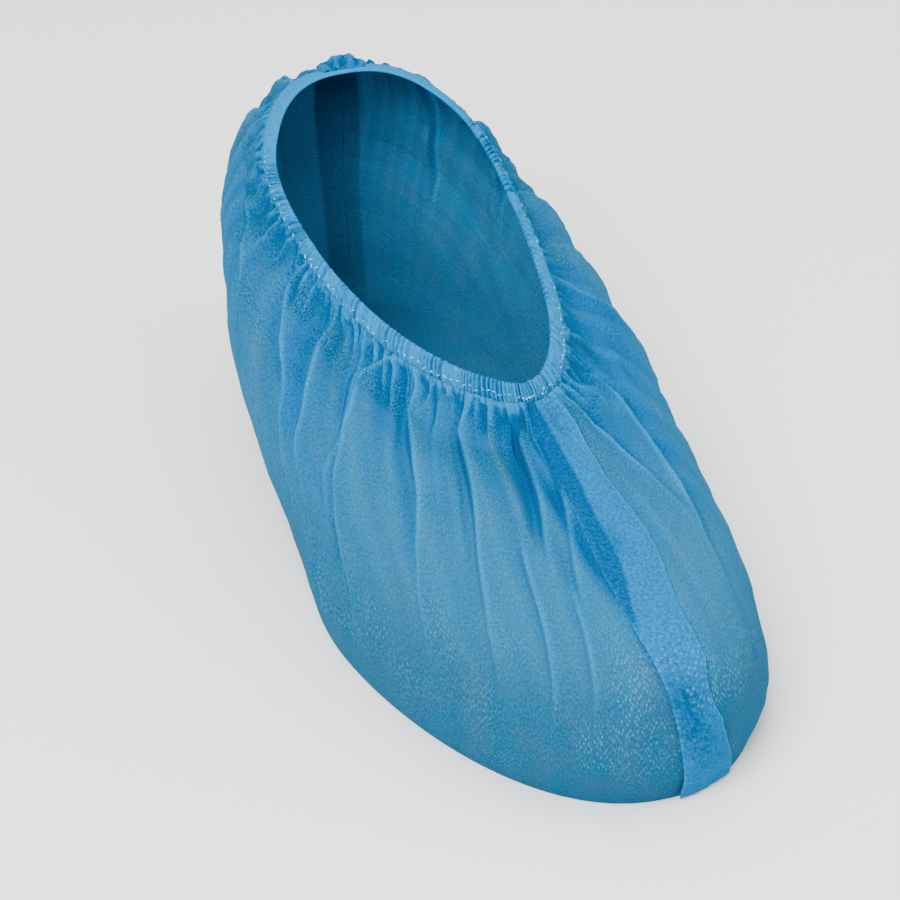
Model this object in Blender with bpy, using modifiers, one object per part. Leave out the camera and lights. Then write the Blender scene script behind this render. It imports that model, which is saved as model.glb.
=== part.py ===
"""A disposable shoe cover in its worn form: a bag of thin non-woven cloth with a ruched elastic hem
round its mouth and a flat seam strip at the toe and at the heel.

Metres, +Z up. The toe points to -Y and the sole lies on z = 0.
"""

import math
from collections import namedtuple

import bmesh
import bpy
from mathutils import Vector

MM = 0.001

# Driving sizes of the worn form
COVER_LENGTH = 300.7 * MM
BALL_WIDTH = 113.0 * MM
HEEL_WIDTH = 104.0 * MM
MOUTH_LENGTH = 181.4 * MM
MOUTH_SETBACK = 91.4 * MM
MOUTH_FRONT_WIDTH = 58.4 * MM
MOUTH_HEEL_WIDTH = 69.6 * MM
MOUTH_FRONT_HEIGHT = 73.0 * MM
MOUTH_HEEL_HEIGHT = 91.5 * MM
SIDE_DIP = 8.7 * MM
WAIST = 4.0 * MM
CENTRE_BEND = 7.1 * MM
SOLE_INSET = 4.0 * MM

# Where the outline turns from the ball's width to the heel's, and where the waist is: shares of the way back
TAPER_START = 0.3
TAPER_REACH = 0.55
WAIST_PLACE = 0.55
WAIST_REACH = 0.16

# Cloth, hem and seam strips
CLOTH = 1.0 * MM
HEM_THICKNESS = 2.4 * MM
HEM_RUCHE = 0.35 * MM
STRIP_THICKNESS = 1.0 * MM
SEAT_GAP = 0.3 * MM
TOE_CORNER = 2.8 * MM
TOE_CORNER_HEIGHT = 1.4 * MM
TUFT_RISE = 1.8 * MM

# Folds and gathers. Fullness is the exponent that shapes a fold's rise along its length, the girth share
# is the wall's girth in cover lengths, and the fade is the number of levels that a gather takes to die away
FOLD_HEIGHT = 3.6 * MM
FOLD_WIDTH = 9.0 * MM
FOLD_FULLNESS = 0.7
GIRTH_SHARE = 2.0
GATHER_DEPTH = 1.3 * MM
GATHERS = 36
GATHER_FADE = 1.6
GATHER_AT_HEM = 0.35
GATHER_STRENGTH = 0.7
SMOOTH_HEEL = 0.18

# Facets
SIDE_COLUMNS = 60
TOE_STRIP_COLUMNS = 4
HEEL_STRIP_COLUMNS = 4
HEM_SIDES = 6

# Steps over which the wall's slope is taken: a share of the way round, and a share of a level
AROUND_STEP = 0.004
LEVEL_STEP = 0.05

# One row for each section of the wall, from the opening down to the floor.
# toe, heel: share of the way from the mouth's ends out to the toe tip and the back of the heel
# ball, back: share of the way from the mouth's half widths out to those of the ball and the heel
# front_up, heel_up: share of the mouth's heights; dip, waist: share of SIDE_DIP and of WAIST
# toe_round, heel_round: exponents of the outline, 2 for an ellipse and more for a squarer end
Section = namedtuple(
    "Section",
    "name toe heel ball back front_up heel_up dip waist toe_round heel_round",
)
SECTIONS = [
    Section("opening", 0.00, 0.00, 0.00, 0.00, 1.00, 1.00, 0.64, -0.10, 1.65, 2.50),
    Section("hem_edge", 0.04, 0.16, 0.09, 0.14, 0.955, 0.99, 0.72, -0.15, 1.75, 2.60),
    Section("lip", 0.07, 0.42, 0.15, 0.24, 0.92, 0.98, 0.82, -0.15, 1.83, 2.60),
    Section("rim", 0.14, 0.78, 0.32, 0.42, 0.84, 0.95, 1.00, -0.07, 2.00, 2.60),
    Section("upper", 0.39, 0.96, 0.60, 0.97, 0.77, 0.75, 0.50, 0.45, 2.10, 2.60),
    Section("flank", 0.61, 1.00, 0.80, 1.00, 0.67, 0.55, 0.26, 0.85, 2.20, 2.50),
    Section("lower", 0.84, 1.00, 0.86, 0.94, 0.56, 0.38, 0.26, 0.82, 2.30, 2.40),
    Section("welt", 0.97, 0.94, 0.91, 0.83, 0.43, 0.23, 0.71, 0.37, 2.38, 2.40),
    Section("base", 1.00, 0.87, 1.00, 0.68, 0.20, 0.09, 0.15, -0.62, 2.38, 2.40),
    Section("floor", 0.945, 0.74, 1.00, 0.43, 0.00, 0.00, 0.00, -1.40, 2.20, 2.40),
]
HEM_EDGE = 1.0
FLOOR = 9.0
STRIP_TOP = 1.5
STRIP_BOTTOM = 8.75
TUFT_END = 4.0
TUFT_FADE = 1.5
GROUND_FADE = 1.5
CORNER_FADE = 1.0
SHELL_LEVELS = [HEM_EDGE, STRIP_TOP, 2.0, 2.5, 3.0, 3.5, 4.0, 4.5, 5.0, 5.5, 6.0, 6.5, 7.0, 7.5, 8.0, 8.4]
SHELL_LEVELS += [STRIP_BOTTOM, FLOOR]

# One row for each long fold. top, bottom: levels of its ends; at_top, at_middle, at_bottom: share of the
# way round from the toe, minus on the outer side; height, width: share of FOLD_HEIGHT and FOLD_WIDTH;
# lean: how much steeper its toe side is than its heel side, minus for the other way round
Fold = namedtuple("Fold", "top bottom at_top at_middle at_bottom height width lean")
FOLDS = [
    Fold(2.6, 6.0, -0.312, -0.272, -0.262, 0.55, 0.90, 0.4),
    Fold(2.2, 8.6, -0.247, -0.222, -0.240, 0.80, 0.70, 0.5),
    Fold(1.6, 8.6, -0.215, -0.205, -0.232, 1.00, 0.80, 0.6),
    Fold(2.0, 8.8, -0.160, -0.176, -0.190, 1.00, 1.00, -0.5),
    Fold(2.0, 8.4, -0.118, -0.118, -0.142, 0.80, 0.90, -0.5),
    Fold(2.0, 7.0, -0.094, -0.096, -0.112, 0.45, 0.70, 0.3),
    Fold(1.8, 7.4, -0.072, -0.076, -0.100, 0.70, 0.90, -0.3),
    Fold(1.6, 6.6, -0.036, -0.034, -0.052, 0.90, 0.80, 0.5),
    Fold(2.0, 7.6, 0.050, 0.070, 0.080, 0.70, 0.90, -0.5),
    Fold(2.0, 7.0, 0.116, 0.096, 0.078, 0.80, 0.80, 0.5),
    Fold(1.8, 6.6, 0.150, 0.166, 0.178, 0.55, 0.90, 0.4),
    Fold(1.8, 7.0, 0.200, 0.222, 0.236, 0.55, 0.90, 0.4),
    Fold(1.8, 6.6, 0.262, 0.282, 0.292, 0.50, 0.90, 0.4),
    Fold(2.2, 6.4, 0.330, 0.342, 0.350, 0.50, 0.90, 0.3),
    Fold(2.4, 6.8, 0.405, 0.410, 0.416, 0.45, 0.90, -0.3),
    Fold(2.4, 6.8, -0.390, -0.398, -0.404, 0.45, 0.90, 0.3),
]

# The gathers drift round the mouth and vary in strength by these slow waves. size: radians of drift or
# share of strength; waves: number round the mouth; start: where the wave begins, in radians
Sway = namedtuple("Sway", "size waves start")
GATHER_DRIFT = [Sway(0.9, 3, 0.0), Sway(0.6, 7, 1.0)]
GATHER_SWELL = Sway(0.3, 5, 0.5)

# Edges of the seam strips: level, then the share of the way round at each edge
Edge = namedtuple("Edge", "level outer inner")
TOE_STRIP = [
    Edge(1.0, -0.012, 0.018),
    Edge(2.0, -0.011, 0.026),
    Edge(3.0, -0.010, 0.034),
    Edge(4.0, -0.008, 0.035),
    Edge(5.0, -0.003, 0.031),
    Edge(6.0, -0.003, 0.026),
    Edge(7.0, -0.002, 0.022),
    Edge(8.0, -0.002, 0.030),
    Edge(9.0, -0.012, 0.034),
]
HEEL_STRIP = [
    Edge(1.0, 0.482, 0.513),
    Edge(3.0, 0.482, 0.511),
    Edge(5.0, 0.484, 0.510),
    Edge(9.0, 0.484, 0.510),
]

# Colours, roughness and how metallic each piece looks
Finish = namedtuple("Finish", "red green blue roughness metallic")
FINISHES = {
    "cover_shell": Finish(0.10, 0.31, 0.53, 0.55, 0.0),
    "elastic_hem": Finish(0.15, 0.43, 0.70, 0.50, 0.0),
    "toe_seam_flap": Finish(0.06, 0.37, 0.69, 0.50, 0.0),
    "heel_seam_flap": Finish(0.04, 0.28, 0.55, 0.50, 0.0),
}


def smooth_value(places, values, place):
    """Reads a value between table rows on a smooth curve that never swings past its rows."""
    place = min(max(place, places[0]), places[-1])
    row = 0
    while row < len(places) - 2 and place > places[row + 1]:
        row += 1

    def slope(i):
        if i in (0, len(places) - 1):
            j = min(i, len(places) - 2)
            return (values[j + 1] - values[j]) / (places[j + 1] - places[j])
        before = (values[i] - values[i - 1]) / (places[i] - places[i - 1])
        after = (values[i + 1] - values[i]) / (places[i + 1] - places[i])
        return 2 * before * after / (before + after) if before * after > 0 else 0.0

    step = places[row + 1] - places[row]
    s = (place - places[row]) / step
    return (
        (1 + 2 * s) * (1 - s) ** 2 * values[row]
        + s * (1 - s) ** 2 * step * slope(row)
        + s * s * (3 - 2 * s) * values[row + 1]
        + s * s * (s - 1) * step * slope(row + 1)
    )


def section_at(level):
    """The section's shares at a level between the table's rows."""
    rows = list(range(len(SECTIONS)))
    columns = zip(*[section[1:] for section in SECTIONS])
    return Section("between", *[smooth_value(rows, list(column), level) for column in columns])


def blend(start, end, share):
    return start + (end - start) * share


def soft_step(share):
    share = min(max(share, 0.0), 1.0)
    return share * share * (3 - 2 * share)


def power(value, exponent):
    """A power that keeps the sign of its base."""
    return math.copysign(abs(value) ** exponent, value)


def wall_point(around, section):
    """A point of the smooth wall, without folds: around is 0 at the toe and 0.5 at the heel."""
    toe_tip = -COVER_LENGTH / 2
    mouth_front = toe_tip + MOUTH_SETBACK
    mouth_back = mouth_front + MOUTH_LENGTH
    front = blend(mouth_front, toe_tip, section.toe)
    rear = blend(mouth_back, toe_tip + COVER_LENGTH, section.heel)
    half_ball = blend(MOUTH_FRONT_WIDTH, BALL_WIDTH, section.ball) / 2
    half_heel = blend(MOUTH_HEEL_WIDTH, HEEL_WIDTH, section.back) / 2

    turn = 2 * math.pi * around
    along, across = math.cos(turn), math.sin(turn)
    exponent = 2 / (section.toe_round if along > 0 else section.heel_round)
    back_share = 0.5 - 0.5 * power(along, exponent)
    half = blend(half_ball, half_heel, soft_step((back_share - TAPER_START) / TAPER_REACH))
    half += section.waist * WAIST * math.exp(-(((back_share - WAIST_PLACE) / WAIST_REACH) ** 2))

    y = blend(front, rear, back_share)
    bend = CENTRE_BEND * math.sin(math.pi * (y - toe_tip) / COVER_LENGTH)
    x = half * power(across, exponent) - bend
    z = blend(section.front_up * MOUTH_FRONT_HEIGHT, section.heel_up * MOUTH_HEEL_HEIGHT, back_share)
    z -= section.dip * SIDE_DIP * 4 * back_share * (1 - back_share)
    return Vector((x, y, z))


def wall_normal(around, level):
    """The smooth wall's outward direction."""
    low, high = max(level - LEVEL_STEP, 0.0), min(level + LEVEL_STEP, FLOOR)
    here = section_at(level)
    sideways = wall_point(around + AROUND_STEP, here) - wall_point(around - AROUND_STEP, here)
    down = wall_point(around, section_at(high)) - wall_point(around, section_at(low))
    return down.cross(sideways).normalized()


def strip_edges(table, level):
    levels = [edge.level for edge in table]
    return (
        smooth_value(levels, [edge.outer for edge in table], level),
        smooth_value(levels, [edge.inner for edge in table], level),
    )


def columns_at(level):
    """Shares of the way round for the wall's columns: toe strip, inner side, heel strip, outer side."""
    toe_outer, toe_inner = strip_edges(TOE_STRIP, level)
    heel_inner, heel_outer = strip_edges(HEEL_STRIP, level)
    stretches = [
        (toe_outer, toe_inner, TOE_STRIP_COLUMNS),
        (toe_inner, heel_inner, SIDE_COLUMNS),
        (heel_inner, heel_outer, HEEL_STRIP_COLUMNS),
        (heel_outer, toe_outer + 1, SIDE_COLUMNS),
    ]
    return [
        blend(start, end, i / count)
        for start, end, count in stretches
        for i in range(count)
    ]


def wrapped(share):
    return (share + 0.5) % 1.0 - 0.5


def fold_lift(around, level):
    """How far the long folds lift the wall."""
    girth = GIRTH_SHARE * COVER_LENGTH
    lift = 0.0
    for fold in FOLDS:
        if not fold.top < level < fold.bottom:
            continue
        down = (level - fold.top) / (fold.bottom - fold.top)
        ends = [0.0, 0.5, 1.0]
        centre = smooth_value(ends, [fold.at_top, fold.at_middle, fold.at_bottom], down)
        offset = wrapped(around - centre) * girth / (fold.width * FOLD_WIDTH)
        steepness = 1 + fold.lean * (1 if offset > 0 else -1)
        ridge = math.exp(-((offset * steepness) ** 2))
        lift += fold.height * FOLD_HEIGHT * ridge * math.sin(math.pi * down) ** FOLD_FULLNESS
    return lift


def sway(wave, turn):
    return wave.size * math.sin(wave.waves * turn + wave.start)


def gather_lift(around, level):
    """How far the gathers under the hem lift the wall; they fade down the wall and vary in strength."""
    below = level - HEM_EDGE
    turn = 2 * math.pi * around
    phase = GATHERS * turn + sum(sway(wave, turn) for wave in GATHER_DRIFT)
    strength = GATHER_STRENGTH + sway(GATHER_SWELL, turn)
    rise = blend(GATHER_AT_HEM, 1.0, soft_step(below))
    return GATHER_DEPTH * strength * rise * math.sin(phase) * math.exp(-below / GATHER_FADE)


def outer_point(around, level, clearance=0.0):
    """A point of the folded outer face, or of a face that lies a clearance outside it."""
    grounded = soft_step((FLOOR - level) / GROUND_FADE)
    lift = (fold_lift(around, level) + gather_lift(around, level)) * grounded
    point = wall_point(around, section_at(level)) + wall_normal(around, level) * (lift + clearance)
    return Vector((point.x, point.y, max(point.z, 0.0)))


def finish_for(name):
    finish = FINISHES[name]
    material = bpy.data.materials.new(name + "_finish")
    material.use_nodes = True
    surface = material.node_tree.nodes["Principled BSDF"]
    surface.inputs["Base Color"].default_value = (finish.red, finish.green, finish.blue, 1)
    surface.inputs["Roughness"].default_value = finish.roughness
    surface.inputs["Metallic"].default_value = finish.metallic
    return material


def add_piece(name, bm, collection, thickness=0.0):
    """Makes an object from a bmesh, thickened inwards where it is an open sheet."""
    bmesh.ops.recalc_face_normals(bm, faces=bm.faces)
    mesh = bpy.data.meshes.new(name)
    bm.to_mesh(mesh)
    bm.free()
    mesh.shade_smooth()
    piece = bpy.data.objects.new(name, mesh)
    piece.data.materials.append(finish_for(name))
    collection.objects.link(piece)
    if thickness:
        wall = piece.modifiers.new("Wall", "SOLIDIFY")
        wall.thickness = thickness
        wall.offset = -1
    return piece


def loft(bm, rows, closed):
    """Joins rows of vertices with quads, and each row's ends too where it is closed."""
    for upper, lower in zip(rows, rows[1:]):
        count = len(upper)
        for i in range(count if closed else count - 1):
            j = (i + 1) % count
            bm.faces.new((upper[i], upper[j], lower[j], lower[i]))


def cover_shell(collection):
    """The bag: its wall from the hem's edge to the floor, and its flat sole."""
    bm = bmesh.new()
    rows = [
        [bm.verts.new(outer_point(around, level)) for around in columns_at(level)]
        for level in SHELL_LEVELS
    ]
    middle = sum((vertex.co for vertex in rows[-1]), Vector()) / len(rows[-1])
    inset = [
        bm.verts.new(vertex.co + (middle - vertex.co).normalized() * SOLE_INSET)
        for vertex in rows[-1]
    ]
    loft(bm, rows + [inset], closed=True)
    bm.faces.new(inset)
    return add_piece("cover_shell", bm, collection, CLOTH)


def elastic_hem(collection):
    """The band over the elastic: a flattened tube between the opening and the shell's edge."""
    bm = bmesh.new()
    rings = []
    for i, around in enumerate(columns_at(HEM_EDGE)):
        opening = wall_point(around, section_at(0.0))
        edge = wall_point(around, section_at(HEM_EDGE))
        flat = (edge - opening).normalized()
        normal = wall_normal(around, HEM_EDGE / 2)
        half_width = ((edge - opening).length - SEAT_GAP) / 2
        centre = opening + flat * half_width
        smooth_heel = soft_step((0.5 - abs(wrapped(around))) / SMOOTH_HEEL)
        ruche = HEM_RUCHE * smooth_heel * (1 if i % 2 else -1)
        half_thickness = HEM_THICKNESS / 2 + ruche
        ring = []
        for side in range(HEM_SIDES):
            turn = 2 * math.pi * side / HEM_SIDES
            across = flat * half_width * math.cos(turn)
            ring.append(bm.verts.new(centre + across + normal * half_thickness * math.sin(turn)))
        rings.append(ring)
    loft(bm, rings + [rings[0]], closed=True)
    return add_piece("elastic_hem", bm, collection)


def seam_strip(name, first_column, count, flare, collection, tip_height=None):
    """A flat strip on a run of the wall's columns. flare is its extra lift, tip_height where it ends."""
    bm = bmesh.new()
    rows = []
    for level in SHELL_LEVELS:
        if not STRIP_TOP <= level <= STRIP_BOTTOM:
            continue
        columns = columns_at(level)
        row = []
        for i in range(count + 1):
            around = columns[(first_column + i) % len(columns)]
            lift = SEAT_GAP + STRIP_THICKNESS + flare(i / count, level)
            row.append(bm.verts.new(outer_point(around, level, lift)))
        rows.append(row)
    if tip_height is not None:
        tip = []
        for i, vertex in enumerate(rows[-1]):
            outward = Vector((vertex.co.x, vertex.co.y, 0)).normalized() * flare(i / count, FLOOR)
            tip.append(bm.verts.new((vertex.co.x + outward.x, vertex.co.y + outward.y, tip_height)))
        rows.append(tip)
    loft(bm, rows, closed=False)
    return add_piece(name, bm, collection, STRIP_THICKNESS)


def toe_seam_flap(collection):
    """The toe's seam strip, from the hem down to its pointed corner at the floor."""

    def corner(across, level):
        return TOE_CORNER * soft_step((level - STRIP_BOTTOM) / CORNER_FADE + 1) * (1 - across) ** 2

    return seam_strip("toe_seam_flap", 0, TOE_STRIP_COLUMNS, corner, collection, TOE_CORNER_HEIGHT)


def heel_seam_flap(collection):
    """The heel's seam strip, whose bunched top end stands over the rim."""

    def tuft(across, level):
        return TUFT_RISE * soft_step((TUFT_END - level) / TUFT_FADE) * math.sin(math.pi * across)

    first = TOE_STRIP_COLUMNS + SIDE_COLUMNS
    return seam_strip("heel_seam_flap", first, HEEL_STRIP_COLUMNS, tuft, collection)


def centre_on_floor(pieces):
    """Hangs the pieces on one empty that puts the middle of their outline over the origin."""
    points = [vertex.co for piece in pieces for vertex in piece.data.vertices]
    root = bpy.data.objects.new("shoe_cover_root", None)
    pieces[0].users_collection[0].objects.link(root)
    for axis in (0, 1):
        low = min(point[axis] for point in points)
        high = max(point[axis] for point in points)
        root.location[axis] = -(low + high) / 2
    for piece in pieces:
        piece.parent = root


def main():
    for item in list(bpy.data.objects):
        bpy.data.objects.remove(item, do_unlink=True)
    collection = bpy.data.collections.new("shoe_cover")
    bpy.context.scene.collection.children.link(collection)
    pieces = [
        cover_shell(collection),
        elastic_hem(collection),
        toe_seam_flap(collection),
        heel_seam_flap(collection),
    ]
    centre_on_floor(pieces)


main()
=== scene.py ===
"""A disposable shoe cover in its worn form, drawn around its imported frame.

A bag of thin blue spunbond cloth is gathered by a ruched elastic hem round its mouth. A flat seam strip
runs down the toe, and another down the heel, whose top end is bunched. Metres, +Z up, the toe points to
-Y and the sole lies on z = 0.
"""

import math
from collections import namedtuple

import bpy
import numpy as np
from bpy.props import FloatProperty, FloatVectorProperty, IntProperty, PointerProperty
from mathutils import Matrix, Vector


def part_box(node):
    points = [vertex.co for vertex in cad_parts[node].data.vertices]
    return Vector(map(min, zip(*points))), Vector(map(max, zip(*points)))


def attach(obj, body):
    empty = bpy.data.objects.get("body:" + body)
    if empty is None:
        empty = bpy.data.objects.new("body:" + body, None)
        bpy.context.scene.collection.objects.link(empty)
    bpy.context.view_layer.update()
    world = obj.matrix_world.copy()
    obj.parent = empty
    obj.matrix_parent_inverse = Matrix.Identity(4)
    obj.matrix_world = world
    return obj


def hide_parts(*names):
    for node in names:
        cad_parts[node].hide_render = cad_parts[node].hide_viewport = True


bl_info = {
    "name": "Disposable Shoe Cover",
    "version": (1, 0, 0),
    "blender": (4, 5, 0),
    "location": "3D View > Sidebar > Shoe Cover",
    "description": "Draws the cloth, hem and seam strips of a disposable shoe cover on its frame",
    "category": "Object",
}

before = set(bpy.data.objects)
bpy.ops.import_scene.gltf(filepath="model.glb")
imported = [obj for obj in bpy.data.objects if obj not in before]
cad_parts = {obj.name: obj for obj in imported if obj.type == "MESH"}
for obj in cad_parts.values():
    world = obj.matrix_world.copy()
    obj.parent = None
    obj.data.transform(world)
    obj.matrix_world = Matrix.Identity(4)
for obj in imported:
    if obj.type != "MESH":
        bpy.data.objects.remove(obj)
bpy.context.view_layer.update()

MM = 0.001

# One row for each section of the wall, from the opening down to the floor.
# toe, heel: share of the way from the mouth's ends out to the toe tip and the back of the heel
# ball, back: share of the way from the mouth's half widths out to those of the ball and the heel
# front_up, heel_up: share of the mouth's heights; dip, waist: share of the side dip and of the waist
# toe_round, heel_round: exponents of the outline, 2 for an ellipse and more for a squarer end
# FLOOR is the last section's level, and GIRTH the wall's girth in cover lengths
Section = namedtuple("Section", "name toe heel ball back front_up heel_up dip waist toe_round heel_round")
SECTIONS = [
    Section("opening", 0.00, 0.00, 0.00, 0.00, 1.00, 1.00, 0.64, -0.10, 1.65, 2.50),
    Section("hem_edge", 0.04, 0.16, 0.09, 0.14, 0.955, 0.99, 0.72, -0.15, 1.75, 2.60),
    Section("lip", 0.07, 0.42, 0.15, 0.24, 0.92, 0.98, 0.82, -0.15, 1.83, 2.60),
    Section("rim", 0.14, 0.78, 0.32, 0.42, 0.84, 0.95, 1.00, -0.07, 2.00, 2.60),
    Section("upper", 0.39, 0.96, 0.60, 0.97, 0.77, 0.75, 0.50, 0.45, 2.10, 2.60),
    Section("flank", 0.61, 1.00, 0.80, 1.00, 0.67, 0.55, 0.26, 0.85, 2.20, 2.50),
    Section("lower", 0.84, 1.00, 0.86, 0.94, 0.56, 0.38, 0.26, 0.82, 2.30, 2.40),
    Section("welt", 0.97, 0.94, 0.91, 0.83, 0.43, 0.23, 0.71, 0.37, 2.38, 2.40),
    Section("base", 1.00, 0.87, 1.00, 0.68, 0.20, 0.09, 0.15, -0.62, 2.38, 2.40),
    Section("floor", 0.945, 0.74, 1.00, 0.43, 0.00, 0.00, 0.00, -1.40, 2.20, 2.40),
]
FLOOR = 9.0
GIRTH = 2.6

# Where the outline turns from the ball's width to the heel's, and where the waist is: shares of the way back
TAPER_START = 0.3
TAPER_REACH = 0.55
WAIST_PLACE = 0.55
WAIST_REACH = 0.16

# The wall's grid: levels of the rows under the hem, how many rows each level below it gets, rows of one
# side's sole, columns all the way round, and where the two seams are, in shares of the way round
UNDER_HEM = (0.55, 0.7, 0.8, 0.9)
ROWS_PER_LEVEL = [12, 13, 26, 22, 20, 17, 18, 17]
SOLE_ROWS = 10
COLUMNS = 1120
TOE_SEAM = 0.010
HEEL_SEAM = 0.496

# One row for each fold that runs down the wall. top, bottom: levels of its ends; at_1 to at_5: share of
# the way round from the toe, minus on the outer side, at five even steps down; height: mm of lift, minus
# for a furrow; spread, steep: mm over which it dies away on its toe side and on its heel side
# blue, shade: how far the cloth on its heel side doubles up and darkens with painted shade, and over how
# many mm
# light: how light its ridge line is, a painted highlight
Fold = namedtuple("Fold", "name top bottom at_1 at_2 at_3 at_4 at_5 height spread steep blue shade light")
FOLDS = [
    Fold("side_high", 2.85, 4.8, -0.320, -0.286, -0.268, -0.262, -0.260, 1.5, 9, 2.4, 0.45, 5, 0.5),
    Fold("side_back", 1.5, 7.4, -0.251, -0.2415, -0.219, -0.2285, -0.238, 2.2, 9, 1.8, 0.7, 5, 0.8),
    Fold("side_middle", 0.9, 7.5, -0.2065, -0.1985, -0.199, -0.2125, -0.229, 2.4, 11, 2.0, 1.0, 12, 0.9),
    Fold("side_narrow", 1.1, 7.0, -0.169, -0.1685, -0.1735, -0.193, -0.216, 1.6, 7, 1.8, 0.7, 6, 0.7),
    Fold("side_front", 0.9, 8.3, -0.1400, -0.1555, -0.1675, -0.1870, -0.186, 2.8, 15, 2.0, 0.9, 6, 1.0),
    Fold("side_furrow", 4.4, 7.2, -0.171, -0.180, -0.190, -0.200, -0.208, -1.5, 2.4, 2.4, 0.9, 3.2, 0.0),
    Fold("low_ridge", 6.9, 8.6, -0.215, -0.212, -0.208, -0.205, -0.202, 0.9, 5, 1.4, 0.3, 2.5, 0.6),
    Fold("low_faint", 6.0, 7.6, -0.191, -0.192, -0.1915, -0.189, -0.183, 0.7, 4, 1.2, 0.3, 2, 0.5),
    Fold("ball_front", 0.9, 7.8, -0.1225, -0.1150, -0.1150, -0.136, -0.1436, 2.2, 12, 1.8, 0.8, 8, 0.9),
    Fold("ball_faint", 0.9, 4.6, -0.101, -0.0985, -0.0950, -0.101, -0.107, 0.9, 6, 1.4, 0.4, 3, 0.4),
    Fold("instep_side", 0.9, 7.8, -0.0715, -0.0725, -0.0765, -0.0940, -0.1035, 1.8, 10, 1.6, 0.8, 7, 0.8),
    Fold("instep_furrow", 0.9, 5.0, -0.041, -0.034, -0.029, -0.037, -0.051, -1.8, 2.2, 2.0, 1.0, 3, 0.0),
    Fold("instep_ridge", 2.2, 5.6, -0.020, -0.0208, -0.0275, -0.037, -0.044, 1.3, 6, 1.4, 0.5, 3, 0.6),
    Fold("strip_furrow", 0.8, 3.3, -0.014, -0.0125, -0.010, -0.006, -0.001, -1.6, 3.4, 3.4, 1.0, 5, 0.0),
    Fold("strip_crease", 3.6, 5.8, -0.0195, -0.0155, -0.0105, -0.0065, -0.0055, -1.1, 2.0, 2.0, 0.9, 3, 0.0),
    Fold("toe_line_near", 2.4, 6.2, 0.006, -0.004, -0.015, -0.026, -0.034, 0.8, 4, 1.0, 0.6, 2.5, 0.6),
    Fold("toe_line_low", 5.0, 7.6, -0.030, -0.034, -0.038, -0.042, -0.046, 0.6, 3, 0.9, 0.4, 2.0, 0.6),
    Fold("toe_line_far", 4.4, 7.8, -0.052, -0.056, -0.061, -0.066, -0.070, 0.7, 4, 1.0, 0.5, 2.0, 0.6),
    Fold("inner_puff", 0.9, 5.4, 0.050, 0.0525, 0.0540, 0.0685, 0.0785, 2.2, 10, 1.8, 0.8, 6, 0.9),
    Fold("inner_short", 1.6, 3.5, 0.0775, 0.083, 0.0885, 0.0945, 0.100, 1.6, 8, 1.8, 0.9, 7, 0.6),
    Fold("inner_cross", 2.3, 6.6, 0.1165, 0.1165, 0.090, 0.0792, 0.0775, 2.0, 10, 2.4, 0.9, 13, 0.8),
    Fold("inner_faint", 0.9, 4.0, 0.127, 0.1385, 0.152, 0.166, 0.178, 1.1, 9, 2.0, 0.5, 6, 0.5),
    Fold("inner_waist", 1.8, 7.0, 0.200, 0.212, 0.222, 0.230, 0.236, 2.0, 9, 2.0, 0.6, 6, 0.7),
    Fold("inner_low", 3.0, 7.8, 0.248, 0.256, 0.260, 0.268, 0.272, 1.2, 7, 1.6, 0.4, 4, 0.6),
    Fold("inner_arch", 1.8, 6.6, 0.262, 0.274, 0.282, 0.288, 0.292, 1.8, 9, 2.0, 0.6, 6, 0.7),
    Fold("inner_heel", 2.2, 6.4, 0.330, 0.337, 0.342, 0.347, 0.350, 1.8, 8, 1.8, 0.5, 5, 0.7),
    Fold("heel_inner", 2.4, 6.8, 0.405, 0.408, 0.410, 0.413, 0.416, 1.6, 7, 1.6, 0.4, 5, 0.6),
    Fold("heel_outer", 2.4, 6.8, -0.390, -0.395, -0.398, -0.401, -0.404, 1.6, 7, 1.6, 0.4, 5, 0.6),
    Fold("heel_far", 2.0, 5.6, -0.446, -0.448, -0.450, -0.452, -0.454, 1.2, 6, 1.4, 0.4, 4, 0.5),
]

# Short pleats that start at the hem, by stretches of the way round. length: levels; height, spread: mm;
# drift: how far round they slant per level. Below the table is what all of them share, as in a Fold
Pleats = namedtuple("Pleats", "start end count length height spread drift seed")
PLEATS = [
    Pleats(-0.500, -0.340, 34, 1.7, 1.10, 1.6, 0.015, 101),
    Pleats(-0.340, -0.120, 50, 1.9, 1.15, 1.5, 0.003, 102),
    Pleats(-0.120, -0.012, 22, 1.3, 1.05, 1.4, 0.000, 103),
    Pleats(0.028, 0.120, 20, 1.5, 1.10, 1.4, 0.006, 104),
    Pleats(0.120, 0.360, 46, 2.0, 0.80, 2.0, 0.018, 105),
    Pleats(0.360, 0.492, 24, 1.6, 0.70, 1.9, 0.012, 106),
    Pleats(-0.480, -0.015, 96, 0.7, 0.80, 1.1, 0.004, 107),
    Pleats(0.030, 0.480, 90, 0.7, 0.60, 1.2, 0.010, 108),
]
PLEAT_TOP = 0.9
PLEAT_STEEP = 0.75
PLEAT_BLUE = 0.9
PLEAT_SHADE = 1.8
PLEAT_LIGHT = 0.75

# Bands of gathers that fan out under the hem. waves: number round the mouth; depth: mm;
# fade: number of levels over which they die away; sway: how far they wander, in waves
Band = namedtuple("Band", "waves depth fade sway seed")
GATHERS = [
    Band(196, 0.35, 0.8, 0.5, 11),
    Band(92, 0.80, 2.0, 0.7, 12),
    Band(41, 1.30, 3.6, 0.8, 13),
]

# How far the gathers drift round per level: a place round the mouth, then the drift there
Drift = namedtuple("Drift", "around per_level")
DRIFTS = [
    Drift(-0.504, 0.0),
    Drift(-0.44, 0.015),
    Drift(-0.34, 0.014),
    Drift(-0.27, 0.0),
    Drift(0.05, 0.0),
    Drift(0.12, 0.018),
    Drift(0.40, 0.014),
    Drift(0.496, 0.0),
]

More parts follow.
